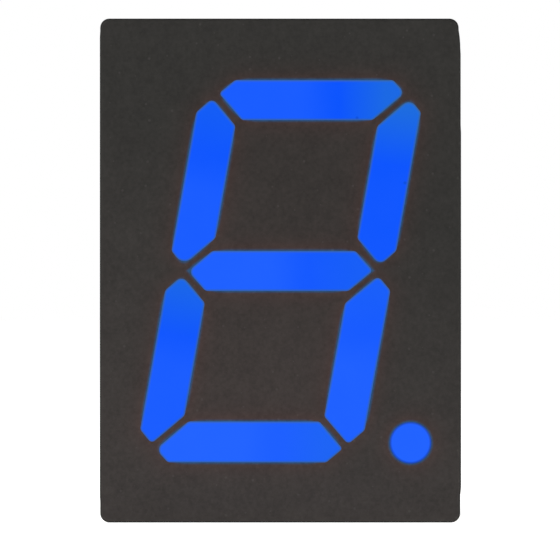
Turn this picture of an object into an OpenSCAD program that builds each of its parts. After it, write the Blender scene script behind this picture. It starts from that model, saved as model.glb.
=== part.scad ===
// Seven segment LED display: one slanted digit and a decimal point, for through-hole mounting.
// X runs to the right across the digit, Z up the digit, and Y from the face to the pins.
// The origin is the centre of the pin pattern, in the plane of the housing's back rim.
// Outlines are drawn flat, as seen from the front, and are then given their depth along Y.

/* [Housing] */
// Width, across the digit
body_w = 12.5; // [12.3:0.1:14]
// Height
body_h = 17.44; // [17.4:0.02:19]
// Depth, from the face to the back rim
body_d = 8; // [7:0.1:10]
// Radius of the four long edges
side_r = 0.32; // [0.1:0.02:0.4]
// Radius of the edges around the face
face_r = 0.22; // [0.1:0.02:0.4]
// Wall around the well that holds the circuit board
rim_wall = 0.5; // [0.4:0.02:0.52]

/* [Digit] */
// Height of the digit
digit_h = 13.22; // [12.6:0.02:13.4]
// Width of the digit before it is slanted
digit_w = 7.76; // [7.2:0.02:7.9]
// Slant, in degrees
slant = 10; // [0:1:12]
// Width of a segment
stroke = 1.42; // [1.2:0.02:1.6]
// Gap between neighbouring segments
gap = 0.28; // [0.2:0.02:0.4]
// Length cut off each outer corner of the digit
corner_cut = 1.14; // [0.8:0.02:1.3]
// How far in from the digit's side the middle segment's end mitres meet
waist_depth = 0.5; // [0.4:0.02:0.6]
// Half height of the notch between the upper and lower segments of a side
waist_notch = 0.68; // [0.6:0.02:0.8]
// Radius of the segments' corners
segment_r = 0.12; // [0.04:0.01:0.2]
// Diameter of the decimal point
point_d = 1.44; // [1:0.02:1.6]
// Distance from the decimal point's centre to the housing's right side
point_inset = 1.75; // [1.6:0.05:2]
// How far the decimal point reaches below the digit
point_drop = 0.07; // [0:0.01:0.2]
// Size of a segment's light well at its floor, against its mouth
well_taper = 0.46; // [0.45:0.01:0.7]
// The same for the decimal point's light well
point_taper = 0.9; // [0.86:0.02:1]

/* [Circuit board] */
// Thickness of the board
board_t = 1; // [0.8:0.1:1.2]
// Depth of the board's back behind the back rim
board_inset = 1.2; // [1:0.1:1.4]
// Play around the board in its well
board_play = 0.08; // [0.04:0.01:0.1]
// Thickness of the copper, which lies flush with the resist
copper_t = 0.035; // [0.02:0.005:0.07]
// Depth of the potting's surface behind the back rim
potting_inset = 0.3; // [0.2:0.05:0.4]

/* [Light sources] */
// Side of an LED chip
chip_side = 0.3; // [0.2:0.02:0.34]
// Thickness of an LED chip
chip_t = 0.12; // [0.08:0.01:0.16]
// Diameter of a bond wire
wire_d = 0.032; // [0.03:0.001:0.05]
// Reach of a bond wire along the board, from the chip's contact to the copper
wire_reach = 0.5; // [0.44:0.01:0.54]

/* [Pins] */
// Diameter of a pin
pin_d = 0.5; // [0.4:0.02:0.5]
// Distance from pin to pin in a row
pin_pitch = 2.54; // [2.5:0.01:2.54]
// Distance between the two rows
row_spacing = 15.24; // [15:0.02:15.24]
// Length of a pin beyond the back rim
pin_length = 6; // [3:0.5:12]
// Length of a pin in front of the board
pin_head = 0.35; // [0.2:0.05:0.45]
// Thickness of the tin coat that the pins are dipped in, included in their diameter
tin_t = 0.015; // [0.005:0.005:0.03]
// Distance from the back rim to where the tin coat starts
tin_start = 0.3; // [0.1:0.05:0.4]

/* [Hidden] */
$fn = 48;
// The eight lights, in this order throughout: the segments a to g and the decimal point
letters = ["a", "b", "c", "d", "e", "f", "g", "point"];
middle = 6;
point = 7;
lights = [0:point];
pins_per_row = 5;
pin_count = 2 * pins_per_row;

// How far a cutting shape reaches past what it cuts
past = 1;

// Depths along Y, from the face to the board
face_y = -body_d;
board_back_y = -board_inset;
board_front_y = board_back_y - board_t;
well_depth = board_front_y - face_y;

// The digit before it is slanted. Its mitres run at 45 degrees, so each is a sum or a difference of x and z.
half_w = digit_w / 2;
half_h = digit_h / 2;
mitre_gap = gap / sqrt(2);
corner_sum = half_w + half_h - corner_cut;
mitre_step = half_h - half_w;
waist_x = half_w - waist_depth;
notch_x = half_w - waist_notch;
inner_x = half_w - stroke;
inner_z = half_h - stroke;

point_at = [body_w / 2 - point_inset, (point_d - digit_h) / 2 - point_drop];
board_w = body_w - 2 * (rim_wall + board_play);
board_h = body_h - 2 * (rim_wall + board_play);
board_r = 0.3;

// Holes, pads and tracks
core_r = pin_d / 2 - tin_t;
solder_gap = 0.135;
plating_t = 0.05;
pad_ring = 0.06;
hole_r = core_r + solder_gap;
barrel_r = hole_r + plating_t;
pad_r = barrel_r + pad_ring;
track_w = 0.3;
spine_w = 0.7;
via_d = 0.35;
land_w = 0.42;
chip_land = 0.25;
signal_land = [0.48, 0.85];
via_step = 1.15;
via_pad_d = 0.6;
land_end = via_step + via_d / 2;

// Solder around a pin: its spread on the pads, and its height behind the board and in front of it
solder_w = pad_r - core_r;
solder_h = 0.55;
solder_front_h = 0.18;

// Bevel at a pin's ends, as a share of its radius
pin_tip = 0.3;

// A chip's second contact lies on a step; both contacts are this far from its middle
step_side = chip_side * 0.36;
step_t = chip_t * 0.2;
contact_x = (chip_side - step_side) / 2;
wire_neck = 0.03;

// Cored pockets behind the two windows of the digit, and the troughs that clear the pins' heads
pocket_skin = 1;
pocket_wall = 0.5;
pocket_r = 0.4;
trough_h = 1;
trough_depth = 0.7;

// ---------- Plane geometry, in front view ----------

function unit(v) = v / norm(v);
function slanted(p) = [p.x + p.y * tan(slant), p.y];
function flipped(points, sx, sz) = [for (p = points) [p.x * sx, p.y * sz]];

// The arc of radius r that rounds the corner at p, between the sides that lead to its two neighbours
function corner_arc(before, p, after, r, steps = 3) =
    let (
        u = unit(before - p),
        v = unit(after - p),
        half = acos(u * v) / 2,
        centre = p + unit(u + v) * r / sin(half),
        start = p + u * r / tan(half) - centre,
        end = p + v * r / tan(half) - centre,
        turn = 180 - 2 * half
    )
    [
        for (i = [0:steps])
            let (from_start = i / steps * turn)
            centre + (start * sin(turn - from_start) + end * sin(from_start)) / sin(turn)
    ];

function rounded(points, r, steps = 3) =
    let (n = len(points))
    [for (i = [0:n - 1]) each corner_arc(points[(i + n - 1) % n], points[i], points[(i + 1) % n], r, steps)];

function rectangle(w, h) = [[-w / 2, -h / 2], [w / 2, -h / 2], [w / 2, h / 2], [-w / 2, h / 2]];

function board_well_outline() = rounded(rectangle(body_w - 2 * rim_wall, body_h - 2 * rim_wall), board_r);

// Segment outlines before the slant: the top one, the middle one and the upper right one.
// The other four are these turned over.
function top_outline() =
    let (
        sum = corner_sum,
        step = mitre_step + mitre_gap,
        right = [[sum - half_h, half_h], [(sum - step) / 2, (sum + step) / 2], [inner_z - step, inner_z]]
    )
    concat(right, [for (i = [2:-1:0]) [-right[i].x, right[i].y]]);

function middle_outline() =
    let (tip = waist_x - mitre_gap, shoulder = tip - stroke / 2)
    [
        [shoulder, stroke / 2], [tip, 0], [shoulder, -stroke / 2],
        [-shoulder, -stroke / 2], [-tip, 0], [-shoulder, stroke / 2]
    ];

function side_outline() =
    let (sum = corner_sum, step = mitre_step - mitre_gap, waist = waist_x + mitre_gap)
    [
        [half_w, sum - half_w], [(sum - step) / 2, (sum + step) / 2], [inner_x, step + inner_x],
        [inner_x, waist - inner_x], [(waist + notch_x) / 2, (waist - notch_x) / 2], [half_w, half_w - notch_x]
    ];

upright_outlines = [
    top_outline(),
    side_outline(),
    flipped(side_outline(), 1, -1),
    flipped(top_outline(), 1, -1),
    flipped(side_outline(), -1, -1),
    flipped(side_outline(), -1, 1),
    middle_outline()
];

function segment_outline(s) = rounded([for (p = upright_outlines[s]) slanted(p)], segment_r);

// Where each chip sits, and the direction along the board in which its signal wire runs
side_x = half_w - stroke / 2;
side_z = (side_outline()[2].y + side_outline()[3].y) / 2;
end_z = half_h - stroke / 2;
chip_places = [
    slanted([0, end_z]), slanted([side_x, side_z]), slanted([side_x, -side_z]), slanted([0, -end_z]),
    slanted([-side_x, -side_z]), slanted([-side_x, side_z]), [0, 0], point_at
];
up_slant = [sin(slant), cos(slant)];
signal_ways = [[1, 0], up_slant, -up_slant, [-1, 0], -up_slant, up_slant, [-1, 0], [0, -1]];

function along(s, distance) = chip_places[s] + signal_ways[s] * distance;

// ---------- Pins and their wiring ----------

// Pins count from the lower left, to the right along the bottom row and back along the top row
function pin_place(i) =
    let (column = i <= pins_per_row ? i : pin_count + 1 - i, side = i <= pins_per_row ? -1 : 1)
    [(column - (pins_per_row + 1) / 2) * pin_pitch, side * row_spacing / 2];

common_pins = [3, 8];
signal_pins = [7, 6, 4, 2, 1, 9, 10, 5];

// Corners of each segment's track between its land and its pin, where it changes to a 45 degree run
function track_bends(s) =
    let (start = along(s, signal_land[1]), end = pin_place(signal_pins[s]), side = sign(end.y))
    s == middle
        ? [[end.x + pin_pitch / 4, 0], [end.x, pin_pitch / 4]]
        : [[end.x, start.y + side * abs(end.x - start.x)]];

// ---------- Building blocks ----------

// Gives a front-view outline its depth, from y1 back to y2
module solid_between(y1, y2) {
    translate([0, y2, 0])
        rotate([90, 0, 0])
            linear_extrude(y2 - y1)
                children();
}

// Lays a shape that was turned around Z along Y, with its start at y, behind a place in the front view
module turned_at(place, y) {
    translate([place.x, y, place.y])
        rotate([-90, 0, 0])
            children();
}

module stripe(from, to, w) {
    length = norm(to - from);
    translate(from)
        rotate(atan2(to.y - from.y, to.x - from.x))
            translate([0, -w / 2])
                square([length, w]);
}

module path(points, w) {
    for (i = [0:len(points) - 2])
        stripe(points[i], points[i + 1], w);
    for (i = [1:len(points) - 2])
        translate(points[i])
            circle(d = w);
}

// Stands a shape on the board's front at a chip's place: its z points to the face, its x the signal's way
module on_board(s) {
    place = chip_places[s];
    translate([place.x, board_front_y, place.y])
        rotate([90, 0, 0])
            rotate(atan2(signal_ways[s].y, signal_ways[s].x))
                children();
}

// A light well's inside: the segment's outline at the face, narrowing to the well's floor around the chip
module well_shape(s) {
    place = chip_places[s];
    translate([place.x, board_front_y, place.y])
        rotate([90, 0, 0])
            if (s == point)
                cylinder(d1 = point_d * point_taper, d2 = point_d, h = well_depth);
            else
                linear_extrude(well_depth, scale = 1 / well_taper)
                    scale(well_taper)
                        translate(-place)
                            polygon(segment_outline(s));
}

// ---------- Parts ----------

// The block that the housing is cut from, with its long edges and its face edges rounded
module housing_block() {
    middle_y = face_y / 2;
    edge_steps = 5;
    front = rounded(rectangle(body_w, body_h), side_r, edge_steps);
    // Seen from the side and from above: only the two corners at the face are rounded
    function profile(w) =
        [
            each corner_arc([w / 2, -face_y], [w / 2, 0], [-w / 2, 0], face_r, edge_steps),
            each corner_arc([w / 2, 0], [-w / 2, 0], [-w / 2, -face_y], face_r, edge_steps),
            [-w / 2, body_d], [w / 2, body_d]
        ];
    intersection() {
        solid_between(face_y, 0)
            polygon(front);
        translate([0, face_y, 0])
            linear_extrude(body_h + 2 * past, center = true)
                polygon(profile(body_w));
        translate([0, face_y, 0])
            rotate([0, 90, 0])
                linear_extrude(body_w + 2 * past, center = true)
                    polygon(profile(body_h));
    }
}

// A window of the digit, drawn in by the pocket's wall; half is 1 for the upper window and -1 for the lower
module pocket_outline(half) {
    x = inner_x - pocket_wall;
    low = stroke / 2 + pocket_wall;
    high = inner_z - pocket_wall;
    window = [[-x, low], [x, low], [x, high], [-x, high]];
    polygon(rounded([for (p = flipped(window, 1, half)) slanted(p)], pocket_r));
}

module housing() {
    color([0.24, 0.23, 0.22])
        difference() {
            housing_block();
            for (s = lights)
                well_shape(s);
            solid_between(board_front_y, past)
                polygon(board_well_outline());
            for (half = [-1, 1]) {
                solid_between(face_y + pocket_skin, board_front_y + past)
                    pocket_outline(half);
                solid_between(board_front_y - trough_depth, board_front_y + past)
                    translate([0, half * row_spacing / 2])
                        square([board_w, trough_h], center = true);
            }
        }
}

module lens(s) {
    color([0.05, 0.36, 0.99])
        difference() {
            well_shape(s);
            chip_solid(s);
            wire_solids(s);
        }
}

module chip_solid(s) {
    on_board(s)
        difference() {
            translate([-chip_side / 2, -chip_side / 2, 0])
                cube([chip_side, chip_side, chip_t]);
            translate([chip_side / 2 - step_side, -chip_side, chip_t - step_t])
                cube([chip_side, 2 * chip_side, chip_t]);
        }
}

module chip(s) {
    color([0.55, 0.66, 0.8])
        chip_solid(s);
}

// One wire in the plane y = 0 of its place on the board: up from its contact, over in a half ring, and down
module bond_wire(contact_z) {
    ring_z = chip_t + wire_neck;
    translate([contact_x, 0, contact_z])
        cylinder(d = wire_d, h = ring_z - contact_z);
    translate([contact_x + wire_reach / 2, 0, ring_z])
        rotate([90, 0, 0])
            rotate_extrude(angle = 180)
                translate([wire_reach / 2, 0])
                    circle(d = wire_d);
    translate([contact_x + wire_reach, 0, 0])
        cylinder(d = wire_d, h = ring_z);
}

module wire_solids(s) {
    on_board(s) {
        bond_wire(chip_t - step_t);
        rotate(180)
            bond_wire(chip_t);
    }
}

module wires(s) {
    color([0.85, 0.85, 0.86])
        wire_solids(s);
}

// The drilled and plated hole of a pin, filled: its barrel and its pads on both sides of the board
module filled_hole(i) {
    place = pin_place(i);
    translate([place.x, 0, place.y])
        rotate([90, 0, 0]) {
            translate([0, 0, board_inset])
                cylinder(r = barrel_r, h = board_t);
            for (depth = [board_inset, board_inset + board_t - copper_t])
                translate([0, 0, depth])
                    cylinder(r = pad_r, h = copper_t);
        }
}

module drill(i) {
    place = pin_place(i);
    translate([place.x, 0, place.y])
        rotate([90, 0, 0])
            translate([0, 0, board_inset - past])
                cylinder(r = hole_r, h = board_t + 2 * past);
}

// A land on the board's front under a chip or a wire's end, between two distances along the signal's way
module land(s, from, to) {
    stripe(along(s, from), along(s, to), land_w);
}

module front_copper() {
    solid_between(board_front_y, board_front_y + copper_t)
        children();
}

module segment_copper(s) {
    front_copper() {
        land(s, signal_land[0], signal_land[1]);
        path([along(s, signal_land[1]), each track_bends(s), pin_place(signal_pins[s])], track_w);
    }
    filled_hole(signal_pins[s]);
}

module common_copper() {
    front_copper()
        for (s = lights)
            land(s, -land_end, chip_land);
    for (s = lights) {
        via = along(s, -via_step);
        solid_between(board_front_y, board_back_y)
            translate(via)
                circle(d = via_d);
    }
    solid_between(board_back_y - copper_t, board_back_y) {
        stripe(pin_place(common_pins[0]), pin_place(common_pins[1]), spine_w);
        for (s = lights) {
            via = along(s, -via_step);
            stripe([0, via.y], via, track_w);
            translate(via)
                circle(d = via_pad_d);
        }
    }
    for (i = common_pins)
        filled_hole(i);
}

module segment_tracks() {
    color([0.78, 0.5, 0.25])
        for (s = lights)
            difference() {
                segment_copper(s);
                drill(signal_pins[s]);
            }
}

module common_track() {
    color([0.78, 0.5, 0.25])
        difference() {
            common_copper();
            for (i = common_pins)
                drill(i);
        }
}

module circuit_board() {
    color([0.12, 0.42, 0.2])
        difference() {
            solid_between(board_front_y, board_back_y)
                polygon(rounded(rectangle(board_w, board_h), board_r));
            for (s = lights)
                segment_copper(s);
            common_copper();
        }
}

// A round wire, bevelled at both ends, with its tin coat on the free length
module pin(i) {
    r = pin_d / 2;
    tip = r * pin_tip;
    rim = pin_head + board_t + board_inset;
    length = rim + pin_length;
    tinned = rim + tin_start;
    color([0.8, 0.8, 0.78])
        turned_at(pin_place(i), board_front_y - pin_head)
            rotate_extrude()
                polygon([
                    [0, length], [r - tip, length], [r, length - tip], [r, tinned + tin_t],
                    [core_r, tinned], [core_r, tip], [core_r - tip, 0], [0, 0]
                ]);
}

// The hollow cone of solder around a pin where it leaves a pad, as radius and height above the pad
function fillet(width, height, steps = 5) =
    [for (i = [0:steps]) [core_r + width * (1 - sin(90 * i / steps)), height * (1 - cos(90 * i / steps))]];

module solder(i) {
    back = fillet(solder_w, solder_h);
    front = fillet(solder_w, solder_front_h);
    color([0.75, 0.76, 0.76])
        turned_at(pin_place(i), board_front_y)
            rotate_extrude()
                polygon([
                    for (p = front) [p.x, -p.y],
                    for (k = [len(back) - 1:-1:0]) [back[k].x, board_t + back[k].y],
                    [hole_r, board_t],
                    [hole_r, 0]
                ]);
}

module potting() {
    color([0.86, 0.88, 0.84])
        difference() {
            solid_between(board_back_y, -potting_inset)
                polygon(board_well_outline());
            for (i = [1:pin_count]) {
                pin(i);
                solder(i);
            }
        }
}

// ---------- Nodes ----------

housing();
for (s = lights) lens(s);
for (s = lights) chip(s);
for (s = lights) wires(s);
circuit_board();
segment_tracks();
common_track();
for (i = [1:pin_count]) pin(i);
for (i = [1:pin_count]) solder(i);
potting();
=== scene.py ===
import math

import bmesh
import bpy
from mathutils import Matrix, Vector


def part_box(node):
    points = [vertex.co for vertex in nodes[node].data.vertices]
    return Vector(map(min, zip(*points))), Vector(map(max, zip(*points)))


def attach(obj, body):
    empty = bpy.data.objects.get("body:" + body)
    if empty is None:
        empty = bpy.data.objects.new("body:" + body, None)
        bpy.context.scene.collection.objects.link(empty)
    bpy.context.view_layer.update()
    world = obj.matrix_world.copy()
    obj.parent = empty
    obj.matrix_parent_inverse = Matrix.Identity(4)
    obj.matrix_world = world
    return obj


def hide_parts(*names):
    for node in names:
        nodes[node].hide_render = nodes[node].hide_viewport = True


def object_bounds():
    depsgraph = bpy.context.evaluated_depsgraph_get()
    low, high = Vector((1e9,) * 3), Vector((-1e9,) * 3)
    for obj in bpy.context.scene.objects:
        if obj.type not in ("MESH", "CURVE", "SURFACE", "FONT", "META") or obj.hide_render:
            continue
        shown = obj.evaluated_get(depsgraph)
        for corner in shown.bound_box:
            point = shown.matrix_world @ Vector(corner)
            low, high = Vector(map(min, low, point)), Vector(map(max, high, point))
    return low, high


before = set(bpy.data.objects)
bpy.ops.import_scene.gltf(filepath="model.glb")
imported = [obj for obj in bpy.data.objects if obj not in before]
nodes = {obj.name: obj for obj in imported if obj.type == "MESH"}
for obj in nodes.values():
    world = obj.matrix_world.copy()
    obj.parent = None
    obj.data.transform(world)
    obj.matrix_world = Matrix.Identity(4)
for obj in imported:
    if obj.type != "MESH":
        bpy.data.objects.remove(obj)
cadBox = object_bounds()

# A seven segment display with a decimal point, all eight lights on.
# X runs to the right across the face, Z up the digit, and Y from the face back to the pins.

mm = 0.001
samePlace = 0.001 * mm  # what lies nearer than this is taken to lie in one place
weldGap = 0.0001 * mm
flatAngle = math.radians(1)  # faces that turn less than this are one face
lights = ["a", "b", "c", "d", "e", "f", "g", "point"]
crossBars = "adg"  # the lights that run across the digit
pinNumbers = range(1, 11)
faceY, rimY = (corner.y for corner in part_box("housing"))
boardFrontY, boardBackY = (corner.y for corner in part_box("circuit_board"))


def middleOf(node):
    low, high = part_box(node)
    return (low + high) / 2


def spanOf(node, axis):
    low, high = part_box(node)
    return high[axis] - low[axis]


lightSpots = {letter: middleOf(f"chip_{letter}") for letter in lights}
pinSpots = {number: middleOf(f"pin_{number}") for number in pinNumbers}
slant = math.atan2(lightSpots["a"].x - lightSpots["d"].x, lightSpots["a"].z - lightSpots["d"].z)
stroke = spanOf("lens_g", 2)
print("frame loaded,", len(nodes), "nodes")


# Modelling helpers

def takeUp(piece, mode="OBJECT"):  # makes one piece the active and only selected one
    if bpy.context.object and bpy.context.object.mode == "EDIT":
        bpy.ops.object.mode_set(mode="OBJECT")
    bpy.ops.object.select_all(action="DESELECT")
    if piece:
        bpy.context.view_layer.objects.active = piece
        piece.select_set(True)
        bpy.ops.object.mode_set(mode=mode)


def placeOf(part):  # the middle of a vertex, an edge or a face
    corners = getattr(part, "verts", [part])
    return sum((corner.co for corner in corners), Vector()) / len(corners)


def liesInFace(part):  # in the plane of the housing's face
    return placeOf(part).y < faceY + samePlace


def liesAt(edge, y):
    return all(abs(vert.co.y - y) < samePlace for vert in edge.verts)


def runsAlong(edge, axis):
    return abs((edge.verts[1].co - edge.verts[0].co).normalized()[axis]) > 0.999


def pick(piece, kind, wanted=lambda part: True):  # in edit mode, by place or normal
    bpy.ops.mesh.select_mode(type=kind)
    bpy.ops.mesh.select_all(action="DESELECT")
    mesh = bmesh.from_edit_mesh(piece.data)
    for part in {"VERT": mesh.verts, "EDGE": mesh.edges, "FACE": mesh.faces}[kind]:
        if wanted(part):
            part.select_set(True)
    mesh.select_flush_mode()
    bmesh.update_edit_mesh(piece.data)


def extrudeBy(x, y, z):
    bpy.ops.mesh.extrude_region_move(TRANSFORM_OT_translate={"value": (x, y, z)})


def roundEdges(piece, radius, segments, wanted):
    pick(piece, "EDGE", wanted)
    bpy.ops.mesh.bevel(offset=radius, segments=segments, affect="EDGES")


def sliceAcross(piece, axis, value):
    normal = Vector()
    normal[axis] = 1
    pick(piece, "FACE")
    bpy.ops.mesh.bisect(plane_co=normal * value, plane_no=normal, threshold=weldGap)


def addBlock(name, low, high):
    takeUp(None)
    bpy.ops.mesh.primitive_cube_add(size=1, location=(low + high) / 2, scale=high - low)
    block = bpy.context.object
    block.name = name
    bpy.ops.object.transform_apply(location=True, rotation=True, scale=True)
    return block


def cutWith(piece, cutter, operation="DIFFERENCE"):
    takeUp(piece)
    cut = piece.modifiers.new("cut", "BOOLEAN")
    cut.operation = operation
    cut.solver = "EXACT"
    cut.object = cutter
    bpy.ops.object.modifier_apply(modifier=cut.name)
    bpy.data.objects.remove(cutter)


def joinAll(pieces):
    takeUp(pieces[0])
    for piece in pieces[1:]:
        piece.select_set(True)
    bpy.ops.object.join()
    return pieces[0]


def copyOf(original, name):
    piece = bpy.data.objects.new(name, original.data.copy())
    bpy.context.scene.collection.objects.link(piece)
    return piece


def placeCopy(original, name, spot, newSpot, turn):  # turned round its own Y axis
    piece = copyOf(original, name)
    takeUp(piece, "EDIT")
    pick(piece, "FACE")
    bpy.ops.transform.rotate(value=turn, orient_axis="Y", center_override=spot)
    bpy.ops.transform.translate(value=newSpot - spot)
    takeUp(piece)
    return piece


def finishPiece(piece, material, replaced, smoothAngle=30):
    takeUp(piece, "EDIT")
    pick(piece, "FACE")
    bpy.ops.mesh.normals_make_consistent(inside=False)
    takeUp(piece)
    bpy.ops.object.shade_smooth_by_angle(angle=math.radians(smoothAngle))
    even = piece.modifiers.new("even", "WEIGHTED_NORMAL")  # keeps large flat faces flat beside a bevel
    even.keep_sharp = True
    bpy.ops.object.modifier_apply(modifier=even.name)
    piece.data.name = piece.name
    piece.data.materials.clear()
    piece.data.materials.append(material)
    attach(piece, "root")
    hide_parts(*replaced)


# Material helpers

def hexColour(text):  # sRGB hex to linear
    channels = [int(text[i:i + 2], 16) / 255 for i in (1, 3, 5)]
    return (*[c / 12.92 if c <= 0.04045 else ((c + 0.055) / 1.055) ** 2.4 for c in channels], 1.0)


def addNode(tree, kind, inputs=(), **settings):  # an input is a value, a hex colour, a node or an output
    node = tree.nodes.new("ShaderNode" + kind)
    for name, value in settings.items():
        setattr(node, name, value)
    for name, source in inputs.items() if isinstance(inputs, dict) else enumerate(inputs):
        if isinstance(source, bpy.types.Node):
            source = next(output for output in source.outputs if output.enabled)
        if isinstance(source, bpy.types.NodeSocket):
            tree.links.new(source, node.inputs[name])
        else:
            node.inputs[name].default_value = hexColour(source) if isinstance(source, str) else source
    return node


def newMaterial(name):
    material = bpy.data.materials.new(name)
    material.use_nodes = True
    material.node_tree.nodes.clear()
    return material, material.node_tree


def coverNode(name, material):
    for slot in nodes[name].material_slots:
        slot.material = material


def millimetres(tree):  # the place on the object, in millimetres
    place = addNode(tree, "TexCoord").outputs["Object"]
    return addNode(tree, "VectorMath", {0: place, "Scale": 1 / mm}, operation="SCALE")


# The lights: milky epoxy cast into wells in the housing, almost level with its face and lit from behind.
# The mould's cores stand a little off the drawing, and their corners are worn.

light = {
    "sunk": 0.015 * mm,  # its rim, behind the face
    "rings": [(0.03 * mm, 0.006 * mm), (0.03 * mm, 0.009 * mm), (0.03 * mm, 0.005 * mm)],  # width and fall
    "floorShare": 0.46,  # size at the board, against the size at the face
    "pointFloorShare": 0.9,
    "lengthShare": 4,  # length, against the stroke
    "drawnRadius": 0.1 * mm,  # an outline's shorter edges belong to its drawn radii
    "drawnIn": 0.009 * mm,  # what each side loses when those radii are merged
    "tipReach": 0.058 * mm,  # from a merged tip to the drawn one
    "tipZone": 0.01 * mm,  # a corner this near the end is the tip
    "cornerWear": 0.085 * mm,  # what a worn corner takes of each side
    "cores": {  # error in X and Z, extra size in X and Z, radius of the left or lower tip and the other, mm
        "a": ((0.005, -0.003), (0.0, -0.024), (0.12, 0.24)),
        "b": ((0.006, 0.0), (0.016, 0.02), (0.27, 0.3)),
        "c": ((-0.015, -0.035), (0.078, 0.07), (0.15, 0.175)),
        "d": ((0.003, -0.028), (0.022, 0.003), (0.26, 0.1)),
        "e": ((0.017, -0.015), (0.038, 0.05), (0.15, 0.24)),
        "f": ((0.007, 0.005), (0.028, 0.03), (0.35, 0.2)),
        "g": ((0.0, -0.014), (0.02, -0.027), (0.24, 0.13)),
    },
    "unlit": "#040a24",
    "deep": "#0052fb",
    "bright": "#1e62ff",
    "dull": "#186adc",
    # rim colours: partly the thin epoxy's dimmer glow, partly painted shade at the edge of the well
    "rim": "#3a6270",
    "pointRim": "#1c3060",
    "rimShare": 0.75,
    # brightness before and past the chip, how far the far end turns greyish, and from how far out, mm
    "glow": {
        "a": (0.52, 0.03, 0.85, 1.0), "b": (0.16, 0.03, 1.0, 0.6), "c": (0.78, 0.42, 0.2, 1.0),
        "d": (1.0, 0.68, 0.35, 1.0), "e": (0.54, 0.12, 0.7, 0.8), "f": (0.52, 0.12, 0.3, 1.0),
        "g": (0.79, 0.3, 0.25, 1.0), "point": (0.95, 0.9, 0.0, 1.0),
    },
    "glowTurns": (-0.5, 1.1),  # mm past the chip, where the one brightness gives way to the other
    "dullEnd": 2.6,  # mm out, where it is greyest
    "haze": 0.16,  # how unevenly the milk is spread
    "hazeSize": 1 / 1.1,  # mm
    "speck": "#004cd8",
    "specks": {"a": (2.65, 5.28), "b": (4.31, 3.03)},  # mm, dust set in the epoxy
    "speckRadius": 0.06,  # mm
    "speckShare": 0.9,
}


def wearCorners(piece, letter):
    move, growth, radii = light["cores"][letter]
    axis = 0 if letter in crossBars else 2
    pick(piece, "EDGE", lambda edge: edge.calc_length() < light["drawnRadius"])
    bpy.ops.mesh.merge(type="COLLAPSE")
    places = [vert.co[axis] for vert in bmesh.from_edit_mesh(piece.data).verts]
    tips = (min(places), max(places))
    pick(piece, "VERT", lambda vert: min(abs(vert.co[axis] - tip) for tip in tips) > light["tipZone"])
    bpy.ops.mesh.bevel(offset=light["cornerWear"], segments=6, affect="VERTICES")
    for way, tip, radius in zip((-1, 1), tips, radii):
        pick(piece, "VERT", lambda vert: abs(vert.co[axis] - tip) < light["tipZone"])
        reach = Vector()
        reach[axis] = way * light["tipReach"]
        bpy.ops.transform.translate(value=reach)
        bpy.ops.mesh.bevel(offset=radius * mm, segments=6, affect="VERTICES")
    pick(piece, "FACE")
    size = Vector((stroke, 0, stroke))
    size[axis] *= light["lengthShare"]
    scale = [1 + (growth[way] * mm + 2 * light["drawnIn"]) / size[2 * way] for way in (0, 1)]
    bpy.ops.transform.resize(value=(scale[0], 1, scale[1]), center_override=lightSpots[letter])
    bpy.ops.transform.translate(value=(move[0] * mm, 0, move[1] * mm))


def faceOutline(letter, name):  # the flat front of a light, as one face
    piece = copyOf(nodes[f"lens_{letter}"], name)
    piece.data.materials.clear()
    takeUp(piece)
    bpy.ops.mesh.customdata_custom_splitnormals_clear()
    takeUp(piece, "EDIT")
    pick(piece, "FACE")
    bpy.ops.mesh.remove_doubles(threshold=weldGap)
    pick(piece, "FACE", lambda face: not liesInFace(face))
    bpy.ops.mesh.delete(type="FACE")
    pick(piece, "FACE")
    bpy.ops.mesh.dissolve_limited(angle_limit=flatAngle)
    if letter != "point":
        wearCorners(piece, letter)
    return piece


def narrowToFloor(piece, letter):  # extrudes a light's front back to the board, smaller at the floor
    share = light["pointFloorShare" if letter == "point" else "floorShare"]
    pick(piece, "FACE")
    extrudeBy(0, boardFrontY - faceY, 0)
    bpy.ops.transform.resize(value=(share, 1, share), center_override=lightSpots[letter])


def modelLight(letter, material):
    piece = faceOutline(letter, f"light_{letter}")
    narrowToFloor(piece, letter)
    pick(piece, "FACE", liesInFace)
    bpy.ops.transform.translate(value=(0, light["sunk"], 0))
    for width, fall in light["rings"]:
        bpy.ops.mesh.inset(thickness=width)
        bpy.ops.transform.translate(value=(0, fall, 0))
    finishPiece(piece, material, [f"lens_{letter}"])


# Cast milky epoxy: the light spreads in it, so it glows softly, brighter on one side of the chip and a
# little dimmer at the rim, where the epoxy is thin. The rim's darker colour is partly that dimmer glow and
# partly painted shade at the edge of the well.

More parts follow.
